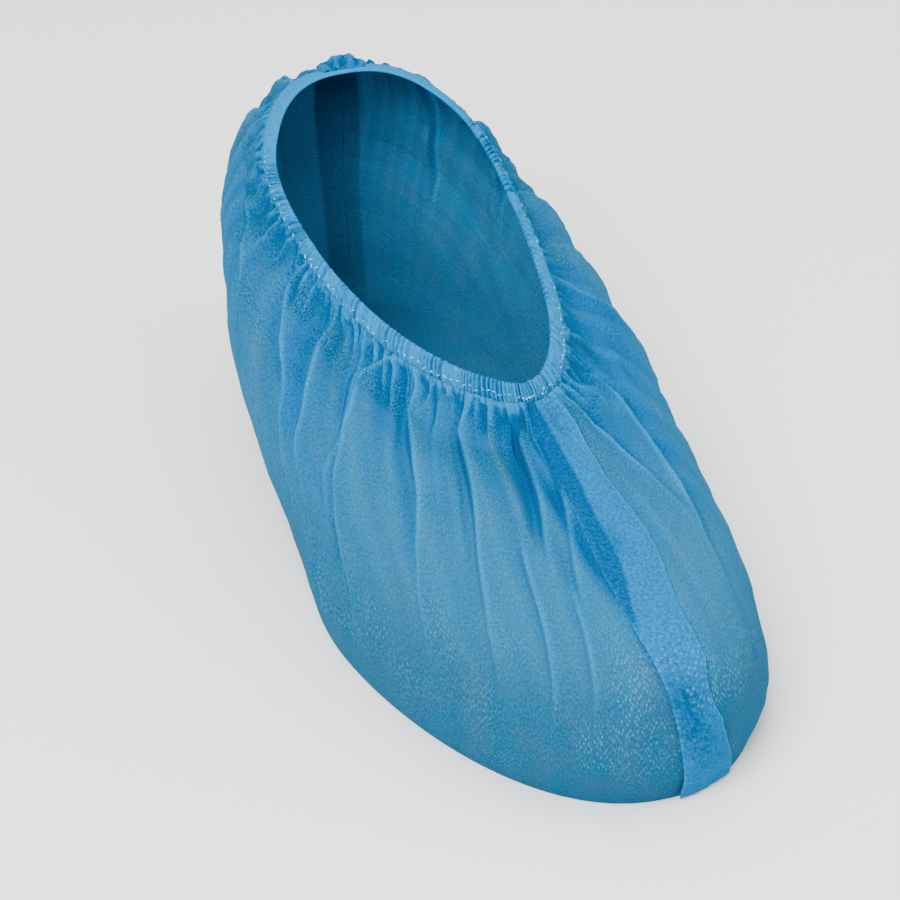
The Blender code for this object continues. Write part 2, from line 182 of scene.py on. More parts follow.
# Places where the cloth lies double, in shares of the way round and in levels
Patch = namedtuple("Patch", "around level wide tall amount")
BLUE_PATCHES = [
    Patch(0.13, 3.0, 0.034, 1.8, 1.0),
    Patch(0.20, 4.0, 0.036, 1.7, 0.8),
    Patch(0.075, 2.4, 0.020, 1.3, 0.8),
    Patch(-0.31, 3.4, 0.050, 2.2, 0.35),
    Patch(-0.155, 2.2, 0.016, 1.2, 0.5),
    Patch(-0.215, 3.4, 0.012, 1.8, 0.6),
    Patch(-0.27, 2.2, 0.030, 1.0, 0.4),
    Patch(-0.205, 4.3, 0.007, 1.3, 0.9),
    Patch(-0.128, 2.6, 0.010, 1.0, 0.7),
    Patch(-0.062, 2.8, 0.008, 1.2, 0.7),
    Patch(-0.030, 3.2, 0.008, 1.4, 0.7),
]

# Soft crumples of the thin cloth. size: mm across; depth: mm
Crumple = namedtuple("Crumple", "size depth seed")
CRUMPLES = [Crumple(26, 0.8, 21), Crumple(10, 0.36, 22), Crumple(4.2, 0.13, 23)]

# Edges of the toe's seam strip: level, then the share of the way round at each edge
Edge = namedtuple("Edge", "level outer inner")
TOE_STRIP = [
    Edge(0.85, -0.012, 0.026),
    Edge(1.6, -0.0115, 0.032),
    Edge(2.2, -0.0105, 0.0365),
    Edge(2.6, -0.0105, 0.0380),
    Edge(3.1, -0.0095, 0.0365),
    Edge(3.5, -0.0110, 0.0325),
    Edge(3.8, -0.0115, 0.0305),
    Edge(4.2, -0.0095, 0.0335),
    Edge(4.7, -0.0080, 0.0350),
    Edge(5.1, -0.0070, 0.0320),
    Edge(5.5, -0.0065, 0.0275),
    Edge(5.85, -0.006, 0.0250),
    Edge(6.2, -0.0045, 0.0255),
    Edge(6.5, -0.0035, 0.0240),
    Edge(6.85, -0.0022, 0.0196),
    Edge(7.2, -0.0012, 0.0215),
    Edge(7.55, 0.000, 0.0262),
    Edge(7.9, 0.001, 0.0300),
    Edge(8.5, 0.003, 0.0405),
    Edge(8.95, 0.004, 0.044),
]
HEEL_STRIP = [
    Edge(0.5, 0.477, 0.521),
    Edge(1.5, 0.479, 0.518),
    Edge(3.0, 0.483, 0.510),
    Edge(5.0, 0.484, 0.510),
    Edge(8.9, 0.484, 0.510),
]

# How far across the toe strip its turned-under, darker edge reaches
Reach = namedtuple("Reach", "level across")
STRIP_TURN = [
    Reach(1.0, 0.42),
    Reach(3.6, 0.40),
    Reach(4.3, 0.29),
    Reach(4.9, 0.28),
    Reach(5.5, 0.15),
    Reach(6.1, 0.0),
]

# Strong blue places on the toe strip, in shares across it and in levels
STRIP_PATCHES = [
    Patch(0.36, 4.65, 0.14, 0.22, 0.6),
    Patch(0.34, 6.95, 0.60, 0.42, 0.55),
    Patch(0.44, 7.70, 0.40, 0.60, 0.60),
    Patch(0.12, 7.30, 0.30, 0.60, 0.35),
    Patch(0.60, 2.40, 0.20, 0.60, 0.4),
]

# What the cloth's shape adds to its looks, kept as point values of the mesh, in turn: doubled cloth, which
# also carries painted shade behind folds and in the gathers' valleys; a painted highlight along ridges and
# edges; bond points that catch the light, a painted glint; dark pores; strong blue of layered cloth, with
# painted shade in furrows; and less light near the ground, a painted shade
CLOTH_VALUES = ("ply", "crest", "glint", "pores", "deep", "dim")

# How the cloth hangs, in mm where it isn't a share or a number of levels
FOLD_START = 0.18  # share of a fold's length over which it rises
FOLD_END = 0.45  # and over which it dies away
RIDGE_LIFT = 1.4  # of a fold's height
TUCK_DEPTH = 0.6  # of its ridge
RIDGE_LEAN = 0.75  # how far a ridge leans over its heel side, as a share of its height
PLEAT_LEAN = 0.3
# The light line along a ridge is a painted highlight, and the strong blue line under it painted shade
RIDGE_LINE = 0.6  # half the width of the light line along a ridge
PLEAT_LINE = 0.45
RIDGE_LINE_AHEAD = 0.2  # how far that line is to the ridge's toe side
SHADE_LINE = 0.9  # half the width of the strong blue line under a ridge
SHADE_LINE_BEHIND = 1.3  # how far that line is to the ridge's heel side
TOE_QUIET = 0.75  # share of the gathers that the flat toe strip holds down
SIDE_HOLLOW = 1.9
TOE_CUT = 3.0
HEM_LIFT = 0.32  # share of the lift that is left at the hem
HEM_LIFT_LOSS = 0.08  # and how much less on the inner side
HEM_REACH = 12.0
GROUND_REACH = 1.2  # levels
LOWEST = 0.2

Place = namedtuple("Place", "point normal")


def linear_colour(text):
    """Turns an sRGB hex colour into the linear values that Blender's shaders use."""
    shares = [int(text[i : i + 2], 16) / 255 for i in (1, 3, 5)]
    return tuple(c / 12.92 if c <= 0.04045 else ((c + 0.055) / 1.055) ** 2.4 for c in shares)


def soft_step(share):
    """Smoothly from 0 at a share of 0 to 1 at a share of 1."""
    share = np.clip(share, 0.0, 1.0)
    return share * share * (3 - 2 * share)


def hump(distance, reach):
    """1 at no distance, and smoothly down to 0.37 at the reach on either side."""
    return np.exp(-((distance / reach) ** 2))


def at_patch(patch, around, level):
    """How strong a patch is at each place, from 1 in its middle."""
    far = ((around - patch.around) / patch.wide) ** 2 + ((level - patch.level) / patch.tall) ** 2
    return np.exp(-far)


def power(value, exponent):
    """A power that keeps the sign of its base."""
    return np.sign(value) * np.abs(value) ** exponent


def unit(vectors):
    """The same directions with a length of 1."""
    return vectors / np.maximum(np.linalg.norm(vectors, axis=-1, keepdims=True), 1e-12)


def smooth_curve(places, values, at):
    """Reads a table on a smooth curve that never swings past its rows."""
    places = np.asarray(places, float)
    values = np.asarray(values, float)
    at = np.clip(at, places[0], places[-1])
    step = np.diff(places)
    rise = np.diff(values) / step
    product = rise[:-1] * rise[1:]
    total = np.where(product > 0, rise[:-1] + rise[1:], 1.0)
    inner = np.where(product > 0, 2 * product / total, 0.0)
    slope = np.concatenate([rise[:1], inner, rise[-1:]])
    row = np.clip(np.searchsorted(places, at) - 1, 0, len(step) - 1)
    s = (at - places[row]) / step[row]
    return (
        (1 + 2 * s) * (1 - s) ** 2 * values[row]
        + s * (1 - s) ** 2 * step[row] * slope[row]
        + s * s * (3 - 2 * s) * values[row + 1]
        + s * s * (s - 1) * step[row] * slope[row + 1]
    )


def read_table(table, place, value, at):
    """Reads one column of a table of rows, by the places in another column."""
    return smooth_curve([getattr(row, place) for row in table], [getattr(row, value) for row in table], at)


def cloud(x, y, seed):
    """Smooth seeded noise from -1 to 1, with one bump for each unit of x and y."""
    size = 97
    table = np.random.default_rng(seed).uniform(-1, 1, (size, size))
    i = np.floor(x).astype(int)
    j = np.floor(y).astype(int)
    s = soft_step(x - i)
    t = soft_step(y - j)
    near = table[i % size, j % size] * (1 - t) + table[i % size, (j + 1) % size] * t
    far = table[(i + 1) % size, j % size] * (1 - t) + table[(i + 1) % size, (j + 1) % size] * t
    return near * (1 - s) + far * s


def wall_point(sizes, around, level):
    """Points of the smooth wall about its own middle: around is 0 at the toe, minus on the outer side."""
    around, level = np.broadcast_arrays(np.asarray(around, float), np.asarray(level, float))
    rows = np.arange(len(SECTIONS))
    columns = list(zip(*[section[1:] for section in SECTIONS]))
    section = Section("between", *[smooth_curve(rows, column, level) for column in columns])
    toe_tip = -sizes.cover_length / 2
    mouth_front = toe_tip + sizes.mouth_setback
    mouth_back = mouth_front + sizes.mouth_length
    front = mouth_front + (toe_tip - mouth_front) * section.toe
    rear = mouth_back + (toe_tip + sizes.cover_length - mouth_back) * section.heel
    ball = sizes.mouth_front_width + (sizes.ball_width - sizes.mouth_front_width) * section.ball
    back = sizes.mouth_heel_width + (sizes.heel_width - sizes.mouth_heel_width) * section.back

    along = np.cos(2 * np.pi * around)
    across = np.sin(2 * np.pi * around)
    exponent = 2 / np.where(along > 0, section.toe_round, section.heel_round)
    back_share = 0.5 - 0.5 * power(along, exponent)
    half = (ball + (back - ball) * soft_step((back_share - TAPER_START) / TAPER_REACH)) / 2
    half += section.waist * sizes.waist * hump(back_share - WAIST_PLACE, WAIST_REACH)

    y = front + (rear - front) * back_share
    x = half * power(across, exponent)
    x -= sizes.centre_bend * np.sin(np.pi * (y - toe_tip) / sizes.cover_length)
    front_z = section.front_up * sizes.mouth_front_height
    z = front_z + (section.heel_up * sizes.mouth_heel_height - front_z) * back_share
    z -= section.dip * sizes.side_dip * 4 * back_share * (1 - back_share)
    return np.stack([x, y, z], -1)


def step_to_frame(sizes):
    """The sideways step from the wall's own middle to the frame, found at the hem, which both have."""
    around = np.linspace(0, 1, 361)
    ring = np.concatenate([wall_point(sizes, around, 0.0), wall_point(sizes, around, 1.0)])
    low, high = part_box("elastic_hem")
    step = (np.array(low) + np.array(high)) / 2 - (ring.min(0) + ring.max(0)) / 2
    return step * (1, 1, 0)


def run_lengths(points, axis):
    """Length along a grid from its first row or column."""
    steps = np.linalg.norm(np.diff(points, axis=axis), axis=-1)
    start = np.zeros_like(np.take(steps, [0], axis=axis))
    return np.concatenate([start, np.cumsum(steps, axis=axis)], axis=axis)


def wall_levels():
    """Levels of the grid's rows, from under the hem down to the floor."""
    levels = [*UNDER_HEM, 1.0]
    for whole, count in enumerate(ROWS_PER_LEVEL, start=1):
        levels += [whole + (i + 1) / count for i in range(count)]
    return np.array(levels)


def pleat_folds():
    """One fold for each short pleat, at uneven places and of uneven length."""
    folds = []
    for pleats in PLEATS:
        draw = np.random.default_rng(pleats.seed)
        pitch = (pleats.end - pleats.start) / pleats.count
        for i in range(pleats.count):
            place = pleats.start + (i + 0.5 + draw.uniform(-0.4, 0.4)) * pitch
            length = pleats.length * draw.uniform(0.35, 1.45)
            size = draw.uniform(0.6, 1.3)
            slant = (pleats.drift + draw.uniform(-0.003, 0.003)) * length
            stations = [place + slant * k / 4 for k in range(5)]
            lengths = [pleats.height * size, pleats.spread * size, PLEAT_STEEP]
            looks = [PLEAT_BLUE, PLEAT_SHADE * size, PLEAT_LIGHT]
            folds.append(Fold("pleat", PLEAT_TOP, 1.0 + length, *stations, *lengths, *looks))
    return folds


class WornCloth:
    """The cloth's outer face on a grid of rows down the wall and columns round it, and its looks' values."""

    def __init__(self, sizes):
        self.sizes = sizes
        self.around = np.linspace(HEEL_SEAM - 1, HEEL_SEAM, COLUMNS + 1)
        self.levels = wall_levels()
        around, level = np.meshgrid(self.around, self.levels)
        self.smooth = wall_point(sizes, around, level) + step_to_frame(sizes)
        down = np.gradient(self.smooth, self.levels, axis=0)
        toeward = np.gradient(self.smooth, self.around, axis=1)
        self.normal = unit(np.cross(down, toeward))
        self.toeward = unit(toeward) * np.where(around < TOE_SEAM, 1, -1)[..., None]
        self.run = run_lengths(self.smooth, 1) / MM
        self.fall = run_lengths(self.smooth, 0) / MM
        self.lift, self.lean, self.ply, self.crest, self.deep = np.zeros((5, *level.shape))
        self.add_folds()
        self.add_gathers(around, level)
        self.add_crumples()
        self.draw_in(around, level)
        self.hold_at_hem(around, level)
        self.tint(around, level)
        grounded = soft_step((FLOOR - level) / GROUND_REACH)
        self.point = self.smooth + self.normal * (self.lift * grounded * MM)[..., None]
        self.point -= self.toeward * (self.lean * grounded * MM)[..., None]
        self.point[..., 2] = np.maximum(self.point[..., 2], LOWEST * MM)

    def along_rows(self, grid, around, rows):
        """Reads a grid of vectors at one place on each of these rows."""
        column = np.interp(around, self.around, np.arange(len(self.around)))
        left = np.clip(np.floor(column).astype(int), 0, COLUMNS - 1)
        share = (column - left)[:, None]
        return grid[rows, left] * (1 - share) + grid[rows, left + 1] * share

    def add_folds(self):
        """Raises each fold's ridge, steep on the heel side and long on the toe side, or sinks its furrow."""
        for fold in [*FOLDS, *pleat_folds()]:
            rows = np.flatnonzero((self.levels > fold.top) & (self.levels < fold.bottom))
            share = (self.levels[rows] - fold.top) / (fold.bottom - fold.top)
            stations = [fold.at_1, fold.at_2, fold.at_3, fold.at_4, fold.at_5]
            centre = smooth_curve([0, 0.25, 0.5, 0.75, 1], stations, share)
            place = np.array([np.interp(c, self.around, self.run[r]) for c, r in zip(centre, rows)])
            line = self.along_rows(self.smooth, centre, rows)
            level_way = self.along_rows(self.toeward, centre, rows)
            slant = np.linalg.norm(np.cross(unit(np.gradient(line, axis=0)), level_way), axis=-1)
            toeward = 1 if fold.at_3 < TOE_SEAM else -1
            gap = (self.run[rows] - place[:, None]) * toeward * slant[:, None]
            pleat = fold.name == "pleat"
            start = soft_step(share / FOLD_START) if fold.top > 1 else 1.0
            fade = (start * soft_step((1 - share) / FOLD_END))[:, None]
            # Blue is strongest near the mouth, where the folds are bundled together
            bundle = (0.4 + 0.6 * soft_step((4.6 - self.levels[rows]) / 2.6))[:, None]
            if fold.height > 0:
                ridge = np.where(gap > 0, np.exp(-gap / fold.spread), hump(gap, fold.steep))
                tuck = hump(gap + 2.3 * fold.steep, 1.5 * fold.steep)
                self.lift[rows] += RIDGE_LIFT * fold.height * fade * (ridge - TUCK_DEPTH * tuck)
                under = hump(gap, 1.3 * fold.steep)
                self.lean[rows] += (PLEAT_LEAN if pleat else RIDGE_LEAN) * fold.height * fade * under
                # A line of painted shade in strong blue lies under the ridge on its heel side
                deep_line = hump(gap + SHADE_LINE_BEHIND, SHADE_LINE)
                self.deep[rows] += 1.2 * fold.blue * fade * deep_line * bundle
                # A painted highlight runs along the top of the ridge
                light_line = hump(gap - RIDGE_LINE_AHEAD, PLEAT_LINE if pleat else RIDGE_LINE)
                self.crest[rows] += fold.light * fade * light_line
                # The doubled cloth, which here also stands for painted shade behind the ridge, starts sharply
                # at the ridge and thins out to its heel side
                behind = 1 / (1 + np.exp(np.clip((gap + 0.35) / 0.16, -40, 40)))
                shade = behind * np.exp(np.minimum(gap, 0) / fold.shade)
            else:
                # A furrow gets painted shade: doubled and strong blue along it
                shade = np.exp(-((np.abs(gap) / fold.shade) ** 1.8))
                self.deep[rows] += 0.9 * fade * hump(gap, fold.spread)
                self.lift[rows] += fold.height * fade * np.exp(-((np.abs(gap) / fold.spread) ** 1.5))
            self.ply[rows] += (1.0 if pleat else 1.5) * fold.blue * fade * shade * bundle

    def add_gathers(self, around, level):
        """Lifts the gathers that fan out from the hem and merge into fewer, broader ones down the wall."""
        drift = read_table(DRIFTS, "around", "per_level", around)
        start = around - drift * (level - 1)
        quiet = 1 - TOE_QUIET * hump(around - TOE_SEAM, 0.022)
        for band in GATHERS:
            wander = band.sway * cloud(start * band.waves / 5 + 40, level * 0.35, band.seed)
            wave = np.abs(np.sin(np.pi * (band.waves * start + wander)))
            ridge = 1 - 2 * wave**0.8
            strength = 0.6 + 0.5 * cloud(start * band.waves / 2.4 + 60, level * 0.5, band.seed + 50)
            fade = np.exp(-(np.maximum(level - 1, 0) / band.fade) ** 1.3)
            self.lift += band.depth * np.clip(strength, 0.1, 1.2) * ridge * fade * quiet
            # Painted shade in the gathers' valleys, as doubled and strong blue, and a painted highlight on
            # their ridges
            self.ply += 0.35 * np.clip(-ridge, 0, 1) * fade
            self.deep += 0.7 * np.clip(-ridge - 0.1, 0, 1) * fade
            self.crest += 0.25 * np.clip(ridge - 0.6, 0, 1) * fade

    def add_crumples(self):
        """Soft dents all over, as thin cloth has."""
        for crumple in CRUMPLES:
            bumps = cloud(self.run / crumple.size + 7, self.fall / crumple.size + 3, crumple.seed)
            self.lift += crumple.depth * bumps

    def draw_in(self, around, level):
        """Draws the sides in under the hem, and the wall beside the toe strip's free corner."""
        self.lift -= SIDE_HOLLOW * soft_step((np.abs(around) - 0.06) / 0.1) * hump(level - 1.8, 2.4)
        self.lift -= TOE_CUT * hump(around - 0.045, 0.024) * soft_step((level - 7.4) / 1.2)

    def hold_at_hem(self, around, level):
        """Flattens the folds towards the hem, which holds the cloth, and wholly under it."""
        under_hem = self.fall - self.fall[len(UNDER_HEM)]
        near_hem = HEM_LIFT - HEM_LIFT_LOSS * soft_step((around - 0.06) / 0.08)
        self.lift *= near_hem + (1 - near_hem) * soft_step(under_hem / HEM_REACH)
        self.lift *= soft_step((level - 0.7) / 0.35)
        self.lean *= soft_step(under_hem / HEM_REACH)

    def tint(self, around, level):
        """Sets the looks' values: doubled blue near the mouth, pores, glints and the ground's shade."""
        bundle = soft_step((3.4 - level) / 2.4)
        uneven = 0.5 + 0.5 * cloud(around * 60 + 9, level * 0.9, 31)
        self.ply += bundle * (0.05 + 0.40 * uneven)
        for patch in BLUE_PATCHES:
            self.ply += patch.amount * at_patch(patch, around, level)
        edge = read_table(TOE_STRIP, "level", "outer", level)
        self.ply += 0.8 * hump(around - edge + 0.003, 0.006) * soft_step((6.6 - level) / 2)
        self.ply = np.clip(self.ply, 0, 1)
        self.crest = np.clip(self.crest, 0, 1)
        self.deep = np.clip(self.deep, 0, 1)
        self.glint = glints_at(around, level)
        self.pores = hump(level - 2.9, 1.3) * soft_step(1.5 * cloud(around * 70, level * 2, 32) + 0.4)
        self.dim = 0.31 * soft_step((level - 5.6) / 2.2) * (0.7 + 0.3 * np.cos(2 * np.pi * around))

    def place(self, around, level):
        """The cloth's point and normal at any place, read between the grid's corners."""
        around = HEEL_SEAM - (HEEL_SEAM - np.asarray(around, float)) % 1.0
        column = np.clip(np.interp(around, self.around, np.arange(len(self.around))), 0, COLUMNS - 1e-6)
        row = np.interp(level, self.levels, np.arange(len(self.levels)))
        row = np.clip(row, 0, len(self.levels) - 1 - 1e-6)
        i = np.floor(row).astype(int)
        j = np.floor(column).astype(int)
        s = (row - i)[..., None]
        t = (column - j)[..., None]

        def between(grid):
            upper = grid[i, j] * (1 - t) + grid[i, j + 1] * t
            lower = grid[i + 1, j] * (1 - t) + grid[i + 1, j + 1] * t
            return upper * (1 - s) + lower * s

        return Place(between(self.point), unit(between(self.normal)))


def grid_mesh(name, points, closed=False):
    """A mesh of quads on a grid of points. closed joins its last row to its first."""
    rows, columns = points.shape[:2]
    index = np.arange(rows * columns).reshape(rows, columns)
    if closed:
        index = np.concatenate([index, index[:1]])
    corners = [index[:-1, :-1], index[1:, :-1], index[1:, 1:], index[:-1, 1:]]
    quads = np.stack(corners, -1).reshape(-1, 4)
    return quad_mesh(name, points.reshape(-1, 3), quads)


def quad_mesh(name, points, quads):
    """A smooth-shaded mesh of points and of quads, which hold four point numbers each."""
    mesh = bpy.data.meshes.new(name)
    mesh.vertices.add(len(points))
    mesh.vertices.foreach_set("co", np.asarray(points, np.float32).ravel())
    mesh.loops.add(quads.size)
    mesh.loops.foreach_set("vertex_index", quads.astype(np.int32).ravel())
    mesh.polygons.add(len(quads))
    mesh.polygons.foreach_set("loop_start", np.arange(0, quads.size, 4, dtype=np.int32))
    mesh.update(calc_edges=True)
    mesh.validate()
    mesh.shade_smooth()
    return mesh


def add_uv(mesh, coordinates):
    """A UV map in metres of flat cloth, given for each vertex."""
    layer = mesh.uv_layers.new(name="flat_cloth")
    corners = np.empty(len(mesh.loops), np.int32)
    mesh.loops.foreach_get("vertex_index", corners)
    layer.data.foreach_set("uv", coordinates.reshape(-1, 2)[corners].astype(np.float32).ravel())


def add_values(mesh, name, values):
    """One of the looks' values for each vertex."""
    attribute = mesh.attributes.new(name, "FLOAT", "POINT")
    attribute.data.foreach_set("value", np.asarray(values, np.float32).ravel())


def add_piece(mesh, material, slot, *nodes):
    """Puts a mesh in the scene as a piece that rides on the frame and stands for these nodes."""
    piece = bpy.data.objects.new(mesh.name, mesh)
    bpy.context.scene.collection.objects.link(piece)
    mesh.materials.append(material)
    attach(piece, "root")
    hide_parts(*nodes)
    return piece


def add_node(tree, kind, inputs=None, **settings):
    """Adds a shader node with its settings; inputs maps a socket's name or number to a value or an output."""
    node = tree.nodes.new("ShaderNode" + kind)
    for name, value in settings.items():
        setattr(node, name, value)
    for name, value in (inputs or {}).items():
        if isinstance(value, bpy.types.NodeSocket):
            tree.links.new(value, node.inputs[name])
        else:
            node.inputs[name].default_value = value
    return node


# Noise patterns of the cloth, by their size in mm across
# formation: thick and thin places; filaments: crossing filaments; pores: gaps between the filaments, dark
# where the cloth hangs clear; haze: thin cloudy places that look greyer
Noise = namedtuple("Noise", "name size detail roughness")
CLOTH_NOISES = [
    Noise("formation", 2.0, 3.0, 0.7),
    Noise("filaments", 0.8, 2.0, 0.6),
    Noise("pores", 0.5, 1.0, 0.6),
    Noise("haze", 14.0, 3.0, 0.6),
]
BOND_PITCH = 1.5
LIT_THROUGH = 0.16


def spunbond_cloth(name, looks, single, doubled):
    """Polypropylene spunbond: a mat of fine filaments, bonded in a lattice of small hot-pressed points.

    It has a soft matt face with cloudy thick and thin places, and the pressed points glint a little. The
    points are 0.6 mm across and 1.5 mm apart, and the filaments are drawn as a grain forty times their
    real 0.02 mm, because they are too fine to show.
    """
    material = bpy.data.materials.new(name)
    material.use_nodes = True
    tree = material.node_tree
    tree.nodes.clear()
    flat = add_node(tree, "UVMap", uv_map="flat_cloth").outputs["UV"]
    mark = {}
    for value in CLOTH_VALUES:
        mark[value] = add_node(tree, "Attribute", attribute_name=value).outputs["Fac"]
    noise = {}
    for row in CLOTH_NOISES:
        inputs = {"Vector": flat, "Scale": 1 / (row.size * MM)}
        inputs |= {"Detail": row.detail, "Roughness": row.roughness}
        noise[row.name] = add_node(tree, "TexNoise", inputs).outputs["Fac"]
    # Bond points on a lattice turned by 45 degrees
    lattice = add_node(tree, "Mapping", {"Vector": flat, "Rotation": (0, 0, math.pi / 4)}).outputs["Vector"]
    inputs = {"Vector": lattice, "Scale": 1 / (BOND_PITCH * MM), "Randomness": 0.4}
    cells = add_node(tree, "TexVoronoi", inputs).outputs["Distance"]

    ranges = {
        "holes": (noise["pores"], 0.52, 0.60, 0.0, 1.0, "SMOOTHSTEP"),
        "bonds": (cells, 0.12, 0.42, 1.0, 0.0, "SMOOTHSTEP"),
        "thick": (noise["formation"], 0.3, 0.7, -0.13, 0.13, "LINEAR"),
        "thin": (noise["haze"], 0.36, 0.64, 0.0, 1.0, "LINEAR"),
        "mottle": (noise["filaments"], 0.36, 0.66, 0.74, 1.22, "LINEAR"),
    }
    part = {}
    for key, (value, low, high, to_low, to_high, curve) in ranges.items():
        inputs = {"Value": value, "From Min": low, "From Max": high, "To Min": to_low, "To Max": to_high}
        part[key] = add_node(tree, "MapRange", inputs, interpolation_type=curve).outputs["Result"]
    # Doubled cloth, with the painted shade that it carries, is stronger in colour, most of all in its thick
    # places, and its thin places don't show
    part["depth"] = add_node(
        tree, "Math", {0: mark["ply"], 1: part["thick"]}, operation="ADD", use_clamp=True
    ).outputs[0]
    sums = {
        "bare": ("SUBTRACT", 1.0, part["depth"]),
        "light": ("SUBTRACT", 1.0, mark["dim"]),
        # Shares of the strong blue with painted shade, and of the painted highlight
        "furrow": ("MULTIPLY", mark["deep"], 0.95),
        "pale": ("MULTIPLY", mark["crest"], 0.7),
        "pore": ("MULTIPLY", part["holes"], mark["pores"]),
        "shine": ("MULTIPLY", part["bonds"], mark["glint"]),
        "pressed": ("MULTIPLY", part["bonds"], -0.5),
    }
    for key, (operation, first, second) in sums.items():
        part[key] = add_node(tree, "Math", {0: first, 1: second}, operation=operation).outputs[0]
    part["grey"] = add_node(tree, "Math", {0: part["thin"], 1: part["bare"]}, operation="MULTIPLY").outputs[0]
    relief = add_node(tree, "Math", {0: noise["filaments"], 1: part["pressed"]}, operation="ADD").outputs[0]

    # Each layer lies over the ones before it: its share, its colour and how it is laid on
    layers = [
        (part["depth"], (*doubled, 1), "MIX"),
        (part["grey"], (*looks.thin_colour, 1), "MIX"),
        # Strong blue with painted shade in furrows, then the painted highlight along ridges
        (part["furrow"], (*looks.layers_and_shade_colour, 1), "MIX"),
        (part["pale"], (*looks.highlight_and_twist_colour, 1), "MIX"),
        (1.0, part["mottle"], "MULTIPLY"),
        (part["pore"], (*looks.pore_colour, 1), "MIX"),
        (1.0, part["light"], "MULTIPLY"),
        (part["shine"], (*looks.glint_colour, 1), "MIX"),
    ]
    colour = (*single, 1)
    for share, over, blend in layers:
        mix = add_node(tree, "Mix", {0: share, 6: colour, 7: over}, data_type="RGBA", blend_type=blend)
        colour = mix.outputs[2]

    inputs = {"Height": relief, "Strength": 0.12, "Distance": 0.25 * MM}
    bump = add_node(tree, "Bump", inputs).outputs["Normal"]
    inputs = {
        "Base Color": colour,
        "Normal": bump,
        "Roughness": 0.62,
        "IOR": 1.49,
        "Specular IOR Level": 0.0,
        "Sheen Weight": 0.14,
        "Sheen Roughness": 0.45,
        "Sheen Tint": (*looks.glint_colour, 1),
    }
    cloth = add_node(tree, "BsdfPrincipled", inputs).outputs["BSDF"]
    through = add_node(tree, "BsdfTranslucent", {"Color": colour, "Normal": bump}).outputs["BSDF"]
    lit = add_node(tree, "MixShader", {0: LIT_THROUGH, 1: cloth, 2: through}).outputs["Shader"]
    add_node(tree, "OutputMaterial", {"Surface": lit})
    return material


def sewing_thread(looks):
    """White spun polyester thread: matt, slightly hairy, with a 0.4 mm twist that shows as fine bands."""
    material = bpy.data.materials.new("white_polyester_thread")
    material.use_nodes = True
    tree = material.node_tree
    surface = tree.nodes["Principled BSDF"]
    place = add_node(tree, "TexCoord").outputs["Object"]
    twist = add_node(tree, "TexWave", {"Vector": place, "Scale": 1 / (0.4 * MM), "Distortion": 1.0})
    inputs = {0: twist.outputs["Fac"], 6: (*looks.thread_colour, 1), 7: (*looks.highlight_and_twist_colour, 1)}
    colour = add_node(tree, "Mix", inputs, data_type="RGBA").outputs[2]
    tree.links.new(colour, surface.inputs["Base Color"])
    surface.inputs["Roughness"].default_value = 0.6
    surface.inputs["IOR"].default_value = 1.55
    return material


def white_card(looks):
    """Matt white card, with a slight cloudiness 80 mm across so that it isn't dead flat."""
    material = bpy.data.materials.new("matt_white_card")
    material.use_nodes = True
    tree = material.node_tree
    surface = tree.nodes["Principled BSDF"]
    place = add_node(tree, "TexCoord").outputs["Object"]
    haze = add_node(tree, "TexNoise", {"Vector": place, "Scale": 1 / (80 * MM)}).outputs["Fac"]
    shade = add_node(tree, "MapRange", {"Value": haze, "To Min": 0.985, "To Max": 1.0}).outputs["Result"]
    inputs = {0: 1.0, 6: (*looks.floor_colour, 1), 7: shade}
    colour = add_node(tree, "Mix", inputs, data_type="RGBA", blend_type="MULTIPLY").outputs[2]
    tree.links.new(colour, surface.inputs["Base Color"])
    surface.inputs["Roughness"].default_value = 0.9
    surface.inputs["Specular IOR Level"].default_value = 0.2
    return material


def length_of(name, description, default):
    """A length in metres that can be set in the panel."""
    return FloatProperty(name=name, description=description, default=default, unit="LENGTH")


def colour_of(name, description, text):
    """A colour that can be set in the panel, from its sRGB hex text."""
    return FloatVectorProperty(
        name=name, description=description, default=linear_colour(text), subtype="COLOR"
    )


class CoverSizes(bpy.types.PropertyGroup):
    """The main sizes of the worn shoe cover."""

    cover_length: length_of("Cover length", "Toe tip to the back of the heel", 0.3007)
    ball_width: length_of("Ball width", "Width at the ball of the foot", 0.113)
    heel_width: length_of("Heel width", "Width at the heel", 0.104)
    mouth_length: length_of("Mouth length", "Length of the opening", 0.1814)
    mouth_setback: length_of("Mouth setback", "Toe tip to the front of the opening", 0.0914)
    mouth_front_width: length_of("Mouth front width", "Width of the opening's front half", 0.0584)
    mouth_heel_width: length_of("Mouth heel width", "Width of the opening's heel half", 0.0696)
    mouth_front_height: length_of("Mouth front height", "Floor to the opening's front", 0.073)
    mouth_heel_height: length_of("Mouth heel height", "Floor to the opening's back", 0.0915)
    side_dip: length_of("Side dip", "How far the sides of the opening dip", 0.0087)
    waist: length_of("Waist", "How far the outline draws in at the waist", 0.004)
    centre_bend: length_of("Centre bend", "How far the foot's middle line bends", 0.0071)
    hem_thickness: length_of("Hem thickness", "Thickness of the elastic hem", 0.0022)
    hem_ruches: IntProperty(
        name="Hem ruches", description="Number of ruches round the elastic hem", default=225
    )
    flat_length: length_of("Flat length", "Length of the cut cloth before sewing", 0.38)
    flat_height: length_of("Flat height", "Height of one side of the cut cloth", 0.145)


